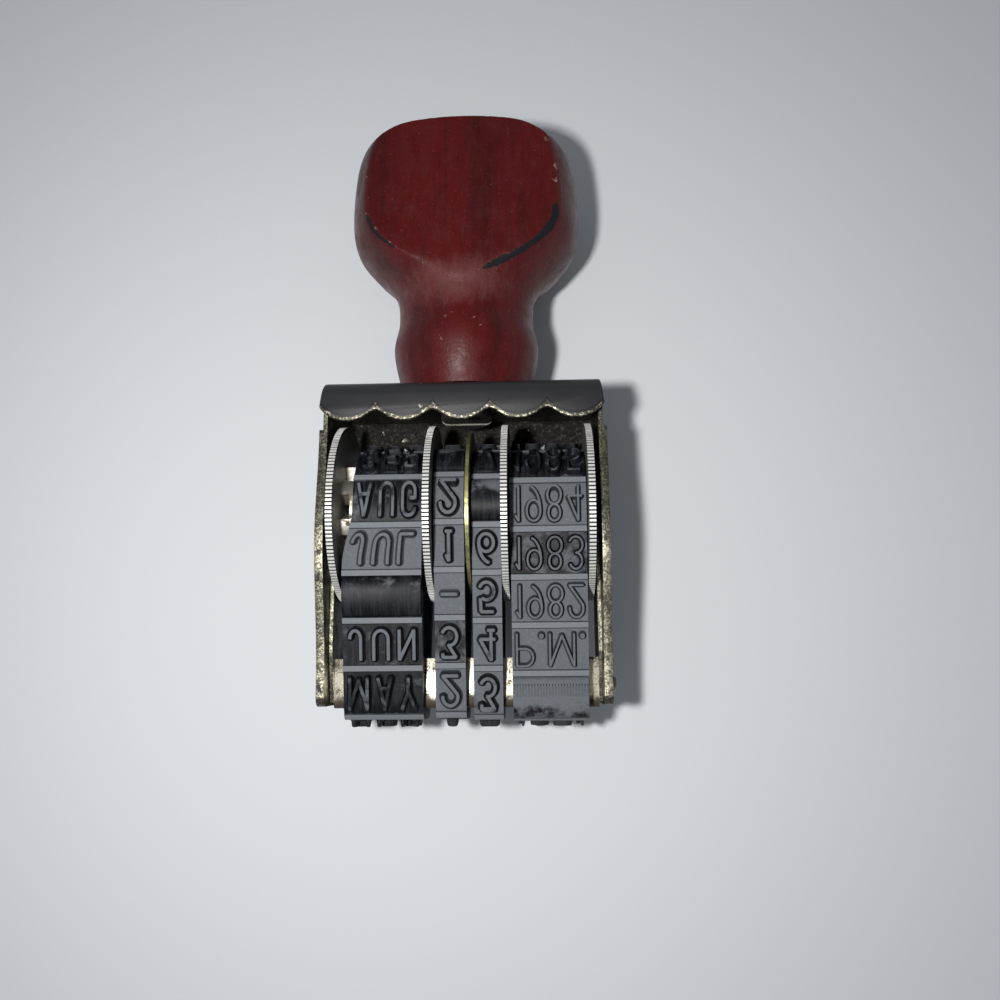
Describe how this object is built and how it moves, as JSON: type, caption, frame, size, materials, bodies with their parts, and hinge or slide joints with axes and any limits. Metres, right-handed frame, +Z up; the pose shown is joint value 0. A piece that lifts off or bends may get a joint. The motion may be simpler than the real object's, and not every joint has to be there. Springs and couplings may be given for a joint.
{
  "type": "date and time stamp",
  "caption": "Hand date stamp with a turned wooden knob, a scalloped hood, a metal yoke and rubber bands of type turned by serrated thumbwheels.",
  "frame": {"origin": "middle of the bounding box, on the surface that the stamp lies on", "axes": "+X to the right across the stamp as seen from its front, +Y from the printing end towards the handle, +Z up out of the front"},
  "size_m": [0.0354, 0.0744, 0.0215],
  "materials": {
    "stained_wood": "red-stained and varnished, satin gloss, worn edges",
    "black_enamel": "gloss stoved enamel, worn to bare metal at the edges",
    "nickel": "nickel plate, dull and speckled with rust",
    "bright_nickel": "bright nickel plate with brown tarnish",
    "wheel_nickel": "nickel-plated, serrated rim with dark ink in the grooves",
    "steel": "plain bright steel",
    "brass": "dull brass with a green tarnish",
    "band_rubber": "matt blue-grey moulded rubber, stained black with ink"
  },
  "bodies": {
    "stamp_body": {"handle": "stained_wood", "handle_screw": "steel", "screw_washer": "steel", "hood": "black_enamel", "frame_yoke": "nickel", "left_side_plate": "nickel", "right_side_plate": "nickel", "bridge": "bright_nickel", "bridge_rivets": "nickel", "axle": "steel", "left_spacer": "steel", "right_spacer": "steel", "centre_separator": "brass", "month_band": "band_rubber", "tens_band": "band_rubber", "units_band": "band_rubber", "year_band": "band_rubber"},
    "month_wheel": {"month_thumbwheel": "wheel_nickel", "month_drum": "wheel_nickel"},
    "tens_wheel": {"tens_thumbwheel": "wheel_nickel", "tens_drum": "wheel_nickel"},
    "units_wheel": {"units_thumbwheel": "wheel_nickel", "units_drum": "wheel_nickel"},
    "year_wheel": {"year_thumbwheel": "wheel_nickel", "year_drum": "wheel_nickel"}
  },
  "joints": [
    {"name": "month_turn", "type": "hinge", "parent": "stamp_body", "child": "month_wheel", "pos_m": [0, -0.01188, 0.01075], "axis": [1, 0, 0], "continuous": true},
    {"name": "tens_turn", "type": "hinge", "parent": "stamp_body", "child": "tens_wheel", "pos_m": [0, -0.01188, 0.01075], "axis": [1, 0, 0], "continuous": true},
    {"name": "units_turn", "type": "hinge", "parent": "stamp_body", "child": "units_wheel", "pos_m": [0, -0.01188, 0.01075], "axis": [1, 0, 0], "continuous": true},
    {"name": "year_turn", "type": "hinge", "parent": "stamp_body", "child": "year_wheel", "pos_m": [0, -0.01188, 0.01075], "axis": [1, 0, 0], "continuous": true}
  ]
}
